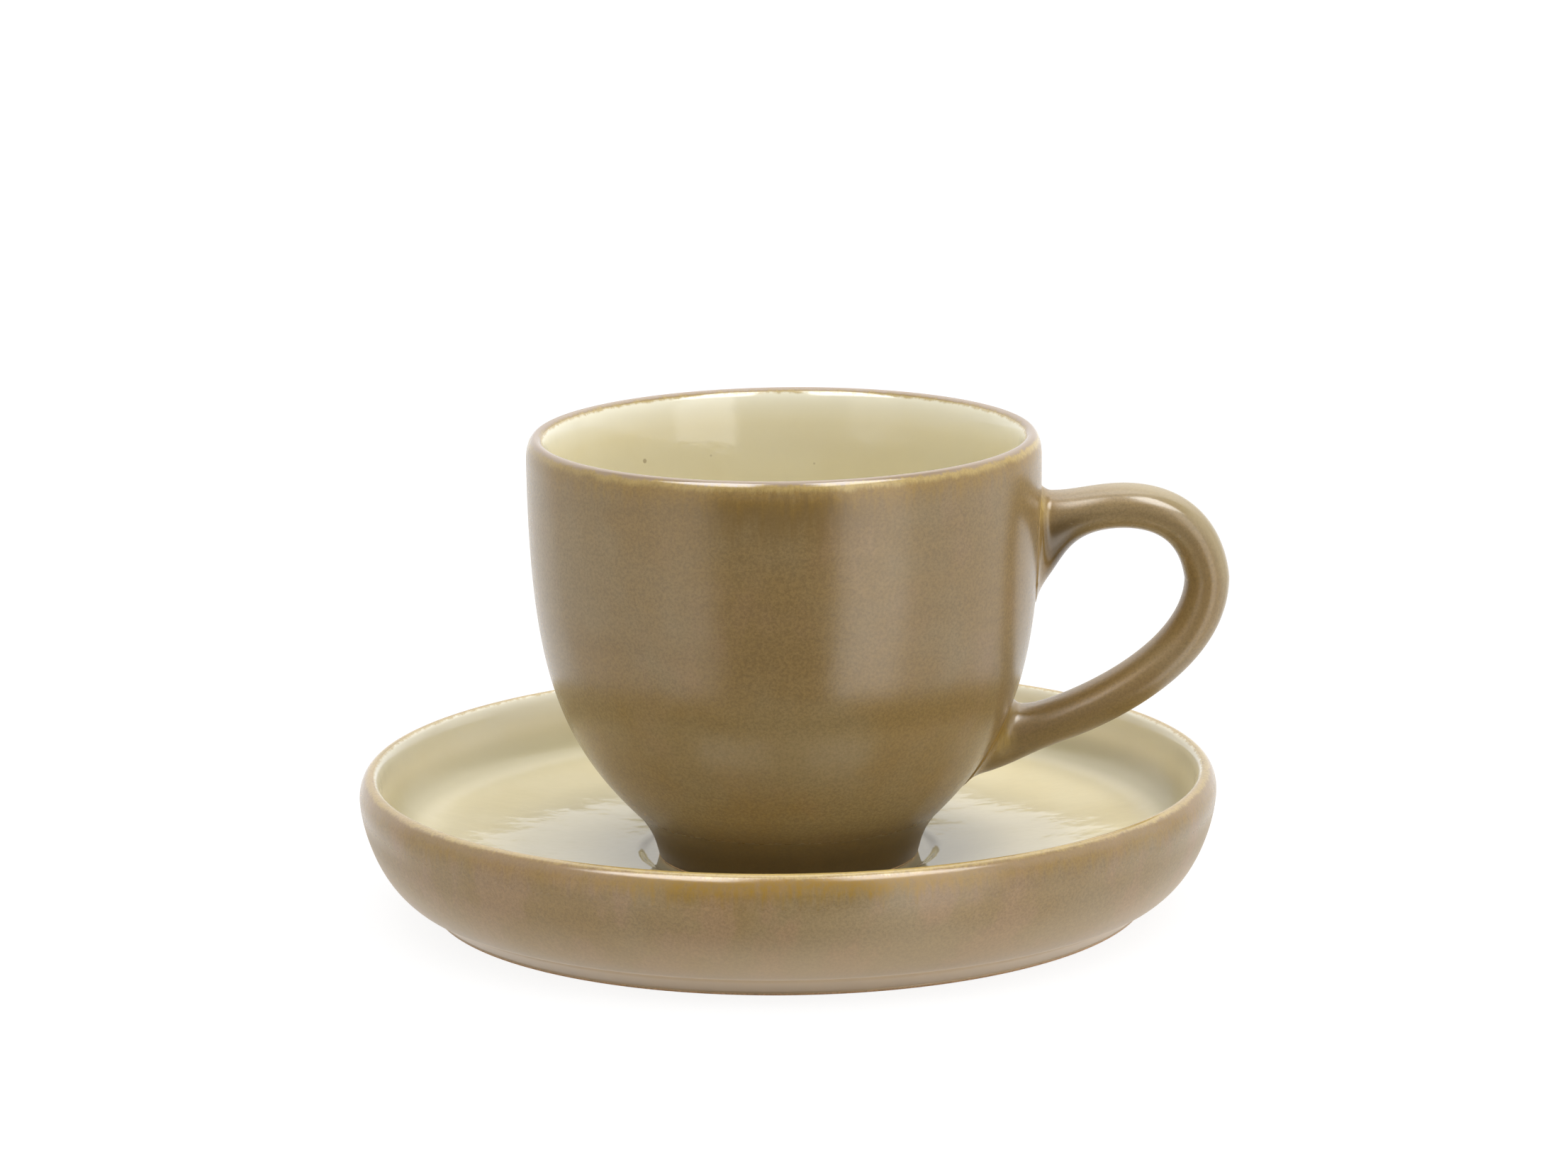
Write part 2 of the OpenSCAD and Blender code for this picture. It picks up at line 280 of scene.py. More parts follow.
cup_outer = join(cubic(foot_blend, 16), cubic_at(bowl, np.linspace(blend_t, 1, 121)))
cup_crest = [CUP_R - CUP_LIP_OUT, CUP_H]
cup_mouth_r = CUP_R - CUP_WALL
cup_flat_r = cup_mouth_r * CUP_FLAT_SHARE
cup_inside_h = CUP_H - CUP_INSIDE_Z
cup_pulls = [
    [cup_mouth_r * out, CUP_INSIDE_Z + cup_inside_h * up] for out, up in CUP_INSIDE_SHARES
]
cup_wall_in = join(
    line([0, CUP_INSIDE_Z], [cup_flat_r, CUP_INSIDE_Z], 8),
    cubic([[cup_flat_r, CUP_INSIDE_Z], *cup_pulls, [cup_mouth_r, CUP_H - CUP_LIP_IN_H]], 120),
)
cup_roll = lip_roll(cup_wall_in, cup_crest, 50)
cup_split = int(len(cup_roll) * CUP_GLAZE_SHARE)
cup_inside = join(cup_wall_in, cup_roll[: cup_split + 1])
cup_side = join(
    foot_underside(CUP_STAND_R, CUP_RING_W, CUP_HOLLOW),
    line(foot_edge, blend_low, 6),
    cup_outer,
    arc([cup_crest[0], CUP_H - CUP_LIP_H], CUP_LIP_OUT, CUP_LIP_H, 0, 90, 30),
    cup_roll[cup_split:][::-1],
)

# ---------------------------------------------------------------- the saucer's profile
ring_edge = [SAUCER_STAND_R, SAUCER_RING_W * RING_EDGE_SHARE]
ring_top = [SAUCER_STAND_R + SAUCER_FLARE, SAUCER_FOOT_H - SAUCER_LEDGE / 2]
ledge_kink = [ring_top[0] + SAUCER_LEDGE / 3, SAUCER_FOOT_H]
wall_base = np.array([SAUCER_STAND_R + SAUCER_FLARE + SAUCER_LEDGE, SAUCER_FOOT_H])
wall_top = [SAUCER_R, SAUCER_H - SAUCER_LIP_H]
wall_pulls = [wall_base + (wall_top - wall_base) * share for share in SAUCER_CURVE_SHARES]
saucer_crest = [SAUCER_R - SAUCER_LIP_OUT, SAUCER_H]
saucer_mouth_r = SAUCER_R - SAUCER_WALL
saucer_lip_z = SAUCER_H - SAUCER_LIP_IN_H
well_start = [WELL_R, SEAT_Z]
well_middle_r = WELL_R + WELL_SLOPE / 2
well_edge = [WELL_R + WELL_SLOPE, SAUCER_TOP_Z]
plate_w = saucer_mouth_r * SAUCER_PLATE_SHARE - well_edge[0]
plate_end = [well_edge[0] + plate_w, SAUCER_TOP_Z + SAUCER_DISH]
plate = np.linspace(0, 1, 40)
(start_out, _), (wall_out, wall_up) = SAUCER_INSIDE_SHARES
start_w = saucer_mouth_r * start_out - plate_end[0]
wall_in = [
    plate_end,
    [plate_end[0] + start_w, plate_end[1] + 2 * SAUCER_DISH * start_w / plate_w],
    [saucer_mouth_r * wall_out, plate_end[1] + (saucer_lip_z - plate_end[1]) * wall_up],
    [saucer_mouth_r, saucer_lip_z],
]
saucer_wall_in = join(
    line([0, SEAT_Z], well_start, 10),
    cubic([well_start, [well_middle_r, SEAT_Z], [well_middle_r, SAUCER_TOP_Z], well_edge], 24),
    np.stack([well_edge[0] + plate_w * plate, SAUCER_TOP_Z + SAUCER_DISH * plate**2], 1),
    cubic(wall_in, 70),
)
saucer_roll = lip_roll(saucer_wall_in, saucer_crest, 40)
saucer_split = int(len(saucer_roll) * SAUCER_GLAZE_SHARE)
saucer_inside = join(saucer_wall_in, saucer_roll[: saucer_split + 1])
saucer_side = join(
    foot_underside(SAUCER_STAND_R, SAUCER_RING_W, SAUCER_HOLLOW),
    line(ring_edge, ring_top, 10),
    cubic([ring_top, ledge_kink, ledge_kink, wall_base], 16),
    cubic([wall_base, *wall_pulls, wall_top], 80),
    arc([saucer_crest[0], SAUCER_H - SAUCER_LIP_H], SAUCER_LIP_OUT, SAUCER_LIP_H, 0, 90, 30),
    saucer_roll[saucer_split:][::-1],
)

# ---------------------------------------------------------------- the cup's and the saucer's pieces
RIM_FAR = 20.0  # distance from a lip's crest past which no band of the rim reaches
EDGE_FAR = 9.0  # the same for the cream glaze, from its own upper edge
CLAY_INSIDE = 1.2  # how far the bare clay of a standing ring reaches into the hollow


def from_crest(profile, crest):
    """Distance along a profile from the crest of its lip, above 0 on the outside."""
    d = runs(profile)
    return d[int(np.argmin(np.hypot(*(profile - crest).T)))] - d


def brown_shell(name, side, crest, inside, lift, segs, stand_r, ring_w, clay_h, body, replaces):
    """A body under its brown glaze. rim is the distance from the crest, clay the bare clay."""
    hidden = coat(inside, GLAZE_T)[::-1]
    run = from_crest(side, crest)
    clay = 1 - smooth(side[:, 1], clay_h * 0.7, clay_h * 1.3)
    clay = clay * (side[:, 0] > stand_r - ring_w - CLAY_INSIDE) * (run > RIM_FAR)
    return revolve(
        name, np.concatenate([side, hidden]), lift, segs, body, "brown_glaze", replaces,
        rim=np.concatenate([np.clip(run, -RIM_FAR, RIM_FAR), np.full(len(hidden), RIM_FAR)]),
        clay=np.concatenate([clay, np.zeros(len(hidden))]),
    )


def cream_skin(name, inside, lift, segs, body, replaces):
    """The cream glaze as a coat: its back against the clay, and its face."""
    back = coat(inside, GLAZE_T)
    face = inside[::-1]
    return revolve(
        name, np.concatenate([back, face]), lift, segs, body, "cream_glaze", replaces,
        edge=np.concatenate([np.full(len(back), EDGE_FAR), np.clip(runs(face), 0, EDGE_FAR)]),
    )


cup_shell = brown_shell(
    "cup_shell", cup_side, cup_crest, cup_inside, SEAT_Z, CUP_SEGMENTS,
    CUP_STAND_R, CUP_RING_W, CUP_CLAY_H, "cup", "cup_body",
)
saucer_shell = brown_shell(
    "saucer_shell", saucer_side, saucer_crest, saucer_inside, 0, SAUCER_SEGMENTS,
    SAUCER_STAND_R, SAUCER_RING_W, SAUCER_CLAY_H, "saucer", "saucer_body",
)
cup_glaze = cream_skin("cup_inner_glaze", cup_inside, SEAT_Z, CUP_SEGMENTS, "cup", "cup_lining")
saucer_glaze = cream_skin(
    "saucer_inner_glaze", saucer_inside, 0, SAUCER_SEGMENTS, "saucer", "saucer_lining"
)

# ---------------------------------------------------------------- the handle
cup_outer_directions = directions(cup_outer)


def wall_at(z):
    """Radius of the cup's wall and its direction, at heights above the cup's foot."""
    columns = (cup_outer[:, 0], *cup_outer_directions.T)
    r, d_out, d_up = (np.interp(z, cup_outer[:, 1], column) for column in columns)
    return r, np.stack([d_out, d_up], -1)


def root_point(z, depth):
    """The middle of a root, at a depth under the wall's face that is a share of the wall."""
    r, d = wall_at(z)
    return np.array([r, z]) - depth * CUP_WALL * np.array([d[1], -d[0]])


def out_of_wall(share):
    """A point of the handle's path, from shares of its reach and of the height of its roots."""
    span = HANDLE_TOP_Z - HANDLE_LOW_Z
    return [CUP_R + HANDLE_REACH * share[0], HANDLE_TOP_Z + span * share[1]]


def handle_line():
    """The handle's path at its rings, the rings' distances along it, its directions and length."""
    bend = out_of_wall(BEND_SHARE)
    top_root = root_point(HANDLE_TOP_Z, ROOT_SINK_SHARE)
    low_root = root_point(HANDLE_LOW_Z, ROOT_SINK_SHARE)
    top_pulls = [out_of_wall(TOP_PULL_SHARE), out_of_wall(BEND_PULL_TOP_SHARE)]
    low_pulls = [out_of_wall(BEND_PULL_LOW_SHARE), out_of_wall(LOW_PULL_SHARE)]
    fine = join(cubic([top_root, *top_pulls, bend], 600), cubic([bend, *low_pulls, low_root], 600))
    run = runs(fine)
    total = run[-1]
    # the rings lie closer together within this distance of the roots
    near = 6.0
    spots = np.concatenate([
        near * np.linspace(0, 1, 40, endpoint=False) ** 1.5,
        np.linspace(near, total - near, 130, endpoint=False),
        total - near * np.linspace(1, 0, 41) ** 1.5,
    ])
    path, tangent = (
        np.stack([np.interp(spots, run, column) for column in values.T], 1)
        for values in (fine, directions(fine))
    )
    return path, spots, unit(tangent), total


def handle_mesh():
    """Points, faces and marks of the handle: ovals along a line, flared at both roots."""
    path, spots, tangent, total = handle_line()
    top = np.clip(1 - spots / FLARE_TOP, 0, 1) ** FLARE_TOP_POWER
    low = np.clip(1 - (total - spots) / FLARE_LOW, 0, 1) ** FLARE_LOW_POWER
    d_top, d_low = wall_at(HANDLE_TOP_Z)[1], wall_at(HANDLE_LOW_Z)[1]
    # the ovals turn from square to the path to along the wall
    square = np.stack([-tangent[:, 1], tangent[:, 0]], 1)
    across = unit((1 - top - low)[:, None] * square + top[:, None] * d_top - low[:, None] * d_low)
    grow_top, grow_low = (ROOT_TOP_H - HANDLE_T) / 2, (ROOT_LOW_H - HANDLE_T) / 2
    half_t = HANDLE_T / 2 + grow_top * top + grow_low * low
    half_w = HANDLE_W / 2 + (ROOT_W - HANDLE_W) / 2 * (0.4 * top**3 + 0.6 * low**2)
    # the two ends, inside the wall
    ends = [root_point(z, ROOT_END_SHARE) for z in (HANDLE_TOP_Z, HANDLE_LOW_Z)]
    path = np.concatenate([ends[:1], path, ends[1:]])
    across = np.concatenate([[d_top], across, [-d_low]])
    half_t = np.concatenate([[ROOT_TOP_H / 2], half_t, [ROOT_LOW_H / 2]])[:, None]
    half_w = np.concatenate([half_w[:1], half_w, half_w[-1:]])[:, None]
    spots = np.concatenate([[0], spots, [total]])[:, None]
    across_x, across_z = across[:, :1], across[:, 1:]
    angle = np.linspace(0, 2 * math.pi, HANDLE_SIDES, endpoint=False)
    cos, sin = np.cos(angle), np.sin(angle)
    x = path[:, :1] + half_t * cos * across_x
    z = path[:, 1:] + half_t * cos * across_z
    y = half_w * sin
    # a small fillet of glaze in the corner with the wall
    r_wall, d_wall = wall_at(z)
    depth = (np.hypot(x, y) - r_wall) * d_wall[..., 1]
    t = np.clip(1 - depth / FILLET, 0, 1)
    grow = FILLET * (1 - np.sqrt(1 - t * t))
    out_t, out_w = cos / half_t, sin / half_w
    size = np.hypot(out_t, out_w)
    x = x + grow * out_t / size * across_x
    z = z + grow * out_t / size * across_z
    y = y + grow * out_w / size
    verts = np.stack([x, y, z + SEAT_Z], -1).reshape(-1, 3)
    rings = len(path)
    faces = []
    for i in range(rings - 1):
        a, b = i * HANDLE_SIDES, (i + 1) * HANDLE_SIDES
        for j in range(HANDLE_SIDES):
            k = (j + 1) % HANDLE_SIDES
            faces.append((a + j, a + k, b + k, b + j))
    faces.append(tuple(reversed(range(HANDLE_SIDES))))
    faces.append(tuple((rings - 1) * HANDLE_SIDES + j for j in range(HANDLE_SIDES)))
    # marks for the colour, from the distance to each root, and from cos: 1 on the outer side of the
    # loop and -1 on its inner side. "shade" places painted shade under the upper root and "top"
    # painted light on the top and outer side; the others mark the glaze
    left = total - spots
    middle = smooth(spots, 10, 22) * (1 - smooth(spots, total - 16, total - 8))
    upper = bump(spots, 0.6, 2.0, 4.0) * bump(cos, 0.1, 0.65, 1.3)
    lower = bump(left, 0.5, 2.0, 4.5) * bump(cos, -0.7, 0.0, 0.7)
    marks = {
        "corner": np.clip(1 - depth / 2.2, 0, 1) ** 1.5,
        "ridge": np.abs(sin) ** 8 * middle,
        "patch": upper + 0.5 * lower,
        "shade": bump(spots, 0.5, 2.5, 11) * (1 - smooth(cos, -0.2, 0.5)),
        "top": smooth((0.8 * across_z + 0.85 * across_x) * cos, 0.25, 0.95),
    }
    return verts, faces, {key: values.ravel() for key, values in marks.items()}


verts, faces, marks = handle_mesh()
handle = new_object("handle", verts, faces, "cup", "brown_glaze", "cup_handle", **marks)


# ---------------------------------------------------------------- node helpers
class Tree:
    """Short ways to add nodes to a node tree. Values are numbers or sockets."""

    def __init__(self, tree):
        self.tree = tree
        tree.nodes.clear()

    def put(self, kind, inputs, **settings):
        """A new node. inputs are values for its sockets, by number or name."""
        node = self.tree.nodes.new(kind)
        for key, value in settings.items():
            setattr(node, key, value)
        for key, value in inputs.items():
            if isinstance(value, bpy.types.NodeSocket):
                self.tree.links.new(value, node.inputs[key])
            else:
                node.inputs[key].default_value = value
        return node

    def math(self, operation, a, b=0.0, c=0.0, clamp=False):
        inputs = {0: a, 1: b, 2: c}
        return self.put("ShaderNodeMath", inputs, operation=operation, use_clamp=clamp).outputs[0]

    def add(self, a, b, clamp=False):
        return self.math("ADD", a, b, clamp=clamp)

    def mul(self, a, b, clamp=False):
        return self.math("MULTIPLY", a, b, clamp=clamp)

    def mul_add(self, a, b, c, clamp=False):
        """a times b, plus c."""
        return self.math("MULTIPLY_ADD", a, b, c, clamp)

    def larger(self, a, b, clamp=False):
        return self.math("MAXIMUM", a, b, clamp=clamp)

    def mix(self, factor, a, b):
        """A colour between a and b."""
        return self.put("ShaderNodeMix", {0: factor, 6: a, 7: b}, data_type="RGBA").outputs[2]

    def mix_numbers(self, factor, a, b):
        return self.put("ShaderNodeMix", {0: factor, 2: a, 3: b}, data_type="FLOAT").outputs[0]

    def scale_colour(self, colour, factor):
        inputs = {0: colour, 3: factor}
        return self.put("ShaderNodeVectorMath", inputs, operation="SCALE").outputs[0]

    def noise(self, vector, scale, detail, rough, stretch=None):
        """Noise round 0.5. A stretch below 1 along an axis draws it out along that axis."""
        if stretch:
            inputs = {0: vector, 1: stretch}
            vector = self.put("ShaderNodeVectorMath", inputs, operation="MULTIPLY").outputs[0]
        inputs = {"Vector": vector, "Scale": scale, "Detail": detail, "Roughness": rough}
        return self.put("ShaderNodeTexNoise", inputs).outputs["Fac"]

    def ramp(self, value, lo, hi, out_lo=0.0, out_hi=1.0):
        """An S-curve from out_lo, at and below lo, to out_hi, at and above hi."""
        names = ("Value", "From Min", "From Max", "To Min", "To Max")
        inputs = dict(zip(names, (value, lo, hi, out_lo, out_hi)))
        return self.put("ShaderNodeMapRange", inputs, interpolation_type="SMOOTHSTEP").outputs[0]

    def band(self, value, lo, full_lo, full_hi, hi):
        """0 outside lo..hi and 1 within full_lo..full_hi."""
        return self.mul(self.ramp(value, lo, full_lo), self.ramp(value, full_hi, hi, 1.0, 0.0))

    def attribute(self, name):
        return self.put("ShaderNodeAttribute", {}, attribute_name=name).outputs["Fac"]

    def place(self, output="Object"):
        """Coordinates of the point that is shaded."""
        return self.put("ShaderNodeTexCoord", {}).outputs[output]

    def axes(self, vector):
        """The x, y and z of a vector."""
        return tuple(self.put("ShaderNodeSeparateXYZ", {0: vector}).outputs)

    def from_axis(self, x, y):
        """Distance from the Z axis, taken as 10 mm wherever it is less."""
        square = self.larger(self.add(self.mul(x, x), self.mul(y, y)), 0.0001)
        return self.math("SQRT", square)


def rgb(r, g, b):
    return (r, g, b, 1.0)


def new_material(name):
    material = bpy.data.materials.new(name)
    material.use_nodes = True
    return material, Tree(material.node_tree)


GLAZE_IOR = 1.52


def finish_glaze(t, colour, rough, height, strength, distance):
    """The shader of a glaze with its bump, on the material's output."""
    inputs = {"Strength": strength, "Distance": distance, "Height": height}
    normal = t.put("ShaderNodeBump", inputs).outputs[0]
    inputs = {"Base Color": colour, "Roughness": rough, "IOR": GLAZE_IOR, "Normal": normal}
    shader = t.put("ShaderNodeBsdfPrincipled", inputs)
    t.put("ShaderNodeOutputMaterial", {"Surface": shader.outputs[0]})


# ---------------------------------------------------------------- brown reactive glaze
# The denoiser is guided in another way where a roughness passes 0.274, and a noisy crossing
# leaves a ragged line or specks. So each broad surface keeps to one side of 0.274, and the
# crossings lie at the cup's foot, in the saucer's amber and at the handle's bend.
BROWN = rgb(0.255, 0.164, 0.058)
BROWN_GREY = rgb(0.260, 0.182, 0.081)
BROWN_ROSE = rgb(0.294, 0.184, 0.088)
BROWN_DARK = rgb(0.190, 0.112, 0.028)
# painted shade: at the cup's foot and under the handle's upper root
BROWN_PAINTED_SHADE = rgb(0.082, 0.047, 0.009)
# painted light on the handle's top and outer side
BROWN_PAINTED_LIT = rgb(0.420, 0.330, 0.160)
# painted bounce light from the table, on the saucer's lower wall and its standing ring
BROWN_PAINTED_BOUNCE = rgb(0.560, 0.425, 0.265)
BROWN_PAINTED_RING_LIGHT = rgb(0.700, 0.540, 0.350)
CREST = rgb(0.360, 0.260, 0.170)
AMBER = rgb(0.360, 0.205, 0.024)
GOLD = rgb(0.630, 0.460, 0.155)
CLAY = (0.860, 0.580, 0.340)


def brown_body(t, at, fine, part):
    """The glaze where it lies thick: clouds of three browns, a fine speckle and throwing rings."""
    cloud = t.noise(at, 55.0, 3.0, 0.55)
    patch = t.noise(at, 130.0, 4.0, 0.6, stretch=(1.0, 1.0, 0.6))
    rose_lo, rose_hi, rose = (0.46, 0.60, 0.75) if part == "saucer" else (0.50, 0.72, 0.35)
    body = t.mix(t.ramp(cloud, 0.38, 0.64), BROWN, BROWN_GREY)
    body = t.mix(t.ramp(patch, rose_lo, rose_hi, 0.0, rose), body, BROWN_ROSE)
    body = t.scale_colour(body, t.ramp(fine, 0.3, 0.7, 0.84, 1.16))
    if part == "handle":
        return body
    rings = t.noise(at, 420.0, 2.0, 0.5, stretch=(0.05, 0.05, 1.0))
    return t.scale_colour(body, t.ramp(rings, 0.3, 0.7, 0.97, 1.03))


def handle_colour(t, body, z, streak, streak_wide):
    """Painted light on top and on the outer side, painted shade low down and under the upper root,
    amber in the corners, gold beside the roots.
    """
    # painted shade low on the handle, painted light higher up
    body = t.scale_colour(body, t.ramp(z, 0.023, 0.034, 0.86, 1.09))
    # painted light where the handle faces up and outwards
    colour = t.mix(t.mul(t.attribute("top"), 0.6), body, BROWN_PAINTED_LIT)
    # painted shade under the upper root, on the inner side
    colour = t.mix(t.mul(t.attribute("shade"), 0.85), colour, BROWN_PAINTED_SHADE)
    amber = t.mul(t.attribute("corner"), t.ramp(streak_wide, 0.3, 0.7, 0.15, 0.5))
    colour = t.mix(amber, colour, AMBER)
    colour = t.mix(t.mul(t.attribute("ridge"), 0.12), colour, BROWN_ROSE)
    gold = t.mul(t.attribute("patch"), t.ramp(streak, 0.3, 0.65, 0.3, 0.9), clamp=True)
    return t.mix(gold, colour, GOLD)


def cup_bands(t, at, z, sine, rim, drip, body):
    """The cup's body colour, and how much amber, crest colour and gold its rim has."""
    gain = t.mul_add(t.noise(at, 90.0, 1.0, 0.5), 0.9, -0.45)
    gain = t.add(t.mul_add(sine, 0.22, 0.58), gain, clamp=True)
    dark = t.ramp(t.math("ABSOLUTE", sine), 0.15, 0.5, 0.7, 0.05)
    body = t.mix(t.mul(t.band(drip, 0.8, 3.4, 4.0, 10.0), dark), body, BROWN_DARK)
    # painted shade: the body darkens towards the foot, over the saucer
    body = t.mix(t.ramp(z, 0.0090, 0.0180, 0.85, 0.0), body, BROWN_PAINTED_SHADE)
    amber = t.mul(t.ramp(rim, 0.3, 1.0), t.ramp(drip, 1.4, 5.2, 0.8, 0.0))
    crest = t.band(rim, -1.0, -0.4, 0.5, 1.1)
    gold = t.mul(t.band(rim, 0.5, 1.0, 1.1, 2.0), gain)
    inner_gold = t.ramp(rim, -1.3, -0.5, 0.6, 0.0)
    return body, t.mul(amber, gain), crest, t.larger(gold, inner_gold, clamp=True)


def saucer_bands(t, at, x, y, z, sine, rim, drip, body):
    """The same for the saucer, whose glaze breaks most along one side."""
    toward = t.mul(y, -1.0)
    front = t.ramp(toward, 0.049, 0.056)
    gain = t.add(t.mul_add(sine, 0.02, 0.44), t.mul(front, 0.56))
    gain = t.add(gain, t.mul_add(t.noise(at, 60.0, 1.0, 0.5), 0.8, -0.4), clamp=True)
    amber = t.mul(t.ramp(rim, 0.5, 1.3), t.ramp(drip, 1.6, 4.8, 1.0, 0.0))
    crest = t.mul(t.band(rim, 0.3, 0.8, 1.4, 2.6), t.mul_add(front, -0.25, 0.35))
    gold = t.band(rim, -0.6, -0.2, 0.5, 1.1)
    gold = t.mul(gold, t.mul_add(gain, 0.6, 0.30), clamp=True)
    # painted light: at the front the wall is lighter below the amber, less so to the right; painted
    # bounce light from the table makes it lighter above the foot, most at the front, and lighter
    # still on the standing ring
    light = t.mul(t.ramp(toward, 0.0535, 0.0565), t.ramp(z, 0.0080, 0.0135))
    light = t.mul(light, t.ramp(x, 0.002, 0.018, 1.0, 0.1))
    body = t.scale_colour(body, t.mul_add(light, 0.16, 1.08))
    painted_bounce = t.mul(t.ramp(z, 0.0022, 0.0115, 0.80, 0.0), t.mul_add(front, 0.3, 0.7))
    body = t.mix(painted_bounce, body, BROWN_PAINTED_BOUNCE)
    body = t.mix(t.ramp(z, 0.0028, 0.0036, 0.9, 0.0), body, BROWN_PAINTED_RING_LIGHT)
    return body, t.mul(amber, gain), crest, gold


def thrown_colour(t, at, body, streak, streak_wide, part):
    """Colour of the cup or the saucer, how much glossier it is there, and the bare clay."""
    x, y, z = t.axes(at)
    # distance from the crest of the lip, in millimetres, made uneven
    rim = t.add(t.attribute("rim"), t.mul_add(streak, -1.0, 0.5))
    rim = t.add(rim, t.mul_add(streak_wide, -1.2, 0.6))
    drips = t.noise(at, 1100.0, 3.0, 0.6, stretch=(1.0, 1.0, 0.12))
    drip = t.add(rim, t.mul_add(drips, -6.0, 3.0))
    # 1 at the right, where the cup's handle is, and -1 at the left
    sine = t.math("DIVIDE", x, t.from_axis(x, y))
    if part == "cup":
        body, amber, crest, gold = cup_bands(t, at, z, sine, rim, drip, body)
        dull_lo, dull_hi = 0.0105, 0.0135
    else:
        body, amber, crest, gold = saucer_bands(t, at, x, y, z, sine, rim, drip, body)
        dull_lo, dull_hi = 0.0115, 0.0150
    grain = t.noise(at, 1300.0, 4.0, 0.75)
    amber = t.mul(amber, t.ramp(grain, 0.3, 0.7, 0.5, 1.1), clamp=True)
    colour = t.mix(amber, body, AMBER)
    colour = t.mix(crest, colour, CREST)
    colour = t.mix(t.mul(gold, t.ramp(grain, 0.3, 0.6, 0.65, 1.0)), colour, GOLD)
    gloss = t.mul_add(t.larger(gold, crest), 0.16, t.mul(amber, 0.06))
    gloss = t.mul_add(t.ramp(z, dull_lo, dull_hi, 1.0, 0.0), -0.16, gloss)
    clay = t.attribute("clay")
    clay_grain = t.ramp(t.noise(at, 2600.0, 2.0, 0.6), 0.3, 0.7, 0.8, 1.15)
    colour = t.mix(clay, colour, t.scale_colour(CLAY, clay_grain))
    return colour, gloss, clay


def brown_glaze(part):
    """The glaze of the cup, the saucer or the handle: it breaks to gold where it runs thin."""
    material, t = new_material("brown_glaze_" + part)
    at = t.place()
    fine = t.noise(at, 2600.0, 3.0, 0.75)
    streak = t.noise(at, 2400.0, 3.0, 0.65, stretch=(1.0, 1.0, 0.16))
    streak_wide = t.noise(at, 420.0, 3.0, 0.6, stretch=(1.0, 1.0, 0.3))
    body = brown_body(t, at, fine, part)
    uneven = t.noise(at, 700.0, 2.0, 0.6)
    if part == "handle":
        z = t.axes(at)[2]
        colour = handle_colour(t, body, z, streak, streak_wide)
        gloss = t.larger(t.attribute("corner"), t.ramp(t.attribute("top"), 0.0, 0.3))
        rough = t.add(t.mul_add(uneven, 0.08, 0.22), t.ramp(z, 0.034, 0.048, 0.07, 0.0))
        rough = t.mul_add(gloss, -0.11, rough)
    else:
        colour, gloss, clay = thrown_colour(t, at, body, streak, streak_wide, part)
        rough = t.math("SUBTRACT", t.mul_add(uneven, 0.08, 0.20), gloss)
        rough = t.mul_add(clay, 0.5, rough, clamp=True)
    height = t.mul_add(fine, 0.45, t.noise(at, 420.0, 2.0, 0.5))
    finish_glaze(t, colour, rough, height, 0.12, 0.00012)
    return material


# ---------------------------------------------------------------- cream glaze
CREAM = rgb(0.800, 0.732, 0.508)
CREAM_WARM = rgb(0.785, 0.708, 0.470)
# painted sheen of reflected light, under the lips
CREAM_PAINTED_SHEEN = rgb(0.930, 0.895, 0.730)
# glaze pooled at the foot of the saucer's wall, darkened further as painted shade
CREAM_POOL_AND_SHADE = rgb(0.545, 0.488, 0.290)
CREAM_EDGE = rgb(0.560, 0.430, 0.190)
SPECK = rgb(0.250, 0.170, 0.090)


def specks(t, at):
    """A few small dark specks: some cells of a Voronoi texture, each with a dot of its own size."""
    cells = t.put("ShaderNodeTexVoronoi", {"Vector": at, "Scale": 210.0})
    pick = t.put("ShaderNodeSeparateColor", {0: cells.outputs["Color"]}).outputs[0]
    past_dot = t.math("SUBTRACT", cells.outputs["Distance"], t.mul_add(pick, 0.4, -0.32))
    return t.mul(t.math("GREATER_THAN", pick, 0.86), t.ramp(past_dot, 0.0, 0.03, 0.55, 0.0))


def saucer_cream(t, x, z, radius, colour):
    """The saucer's lining, with painted shade and light: darker near the well, most at the right,
    lighter to the right further out, glaze pooled where its wall starts and darkened there as
    painted shade, and the wall lighter at the left and darker at the right.
    """
    # painted shade towards the cup and painted light towards the right
    shade = t.mul(t.ramp(radius, 0.034, 0.0435, 0.85, 1.05), t.ramp(x, -0.040, 0.040, 0.91, 1.12))
    # painted shade round the well, deepest at the right
    well_shade = t.ramp(x, -0.020, 0.020, 0.88, 0.60)
    shade = t.mul(shade, t.ramp(radius, 0.022, 0.034, well_shade, 1.0))
    # pooled glaze, darker still as painted shade
    pool_and_shade = t.band(z, 0.0086, 0.0103, 0.0112, 0.0148)
    colour = t.mix(pool_and_shade, t.scale_colour(colour, shade), CREAM_POOL_AND_SHADE)
    # painted light on the left of the wall, painted shade on its right
    left, right = t.ramp(x, -0.052, -0.038, 0.12, 0.0), t.ramp(x, 0.020, 0.045, 0.0, -0.09)
    wall_shade = t.mul(t.ramp(radius, 0.0450, 0.0490), t.add(left, right))
    return t.scale_colour(colour, t.add(wall_shade, 1.0))


